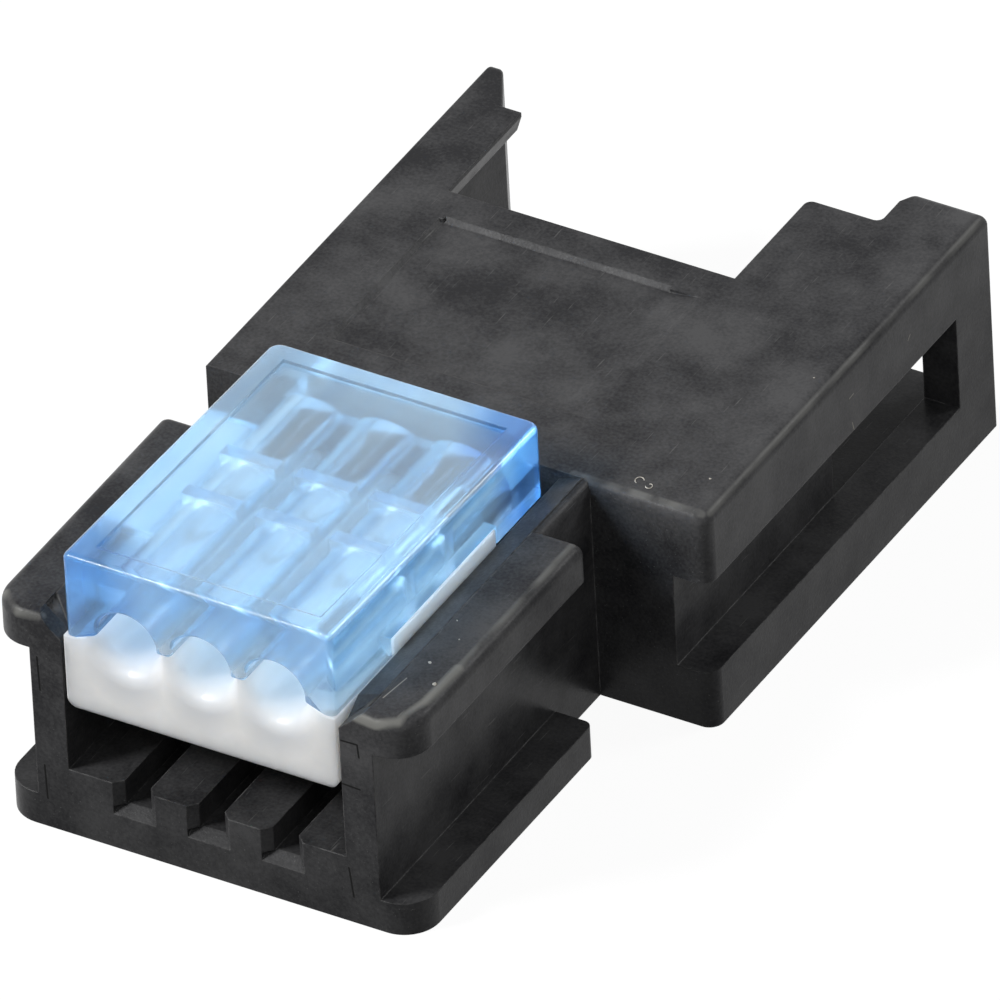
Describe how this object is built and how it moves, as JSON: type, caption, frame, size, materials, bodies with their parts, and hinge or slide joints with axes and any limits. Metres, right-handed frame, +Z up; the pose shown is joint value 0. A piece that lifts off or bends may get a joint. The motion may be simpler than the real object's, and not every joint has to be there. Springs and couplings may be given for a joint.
{
  "type": "wire mount socket",
  "caption": "Small insulation-displacement wire socket: a black keyed housing with its translucent blue cover raised over a white wire guide, ready for wires to be pressed in.",
  "frame": {"origin": "middle of the base outline, on the plane that the socket lies on", "axes": "+Y towards the mating end, +Z up out of the cover, +X towards the wide side of the shroud"},
  "size_m": [0.0136, 0.0236, 0.0082],
  "materials": {
    "housing_plastic": "black moulded polyester, semi-gloss",
    "cover_plastic": "translucent light blue moulded plastic, glossy",
    "guide_plastic": "milky white moulded plastic, satin",
    "contact_metal": "stamped copper alloy, plated"
  },
  "bodies": {
    "housing": {"housing": "housing_plastic", "contact_1": "contact_metal", "contact_2": "contact_metal", "contact_3": "contact_metal"},
    "cover": {"cover": "cover_plastic", "wire_guide": "guide_plastic"}
  },
  "joints": [
    {"name": "cover_press", "type": "slide", "parent": "housing", "child": "cover", "axis": [0, 0, -1], "range_m": [0, 0.0019]}
  ]
}
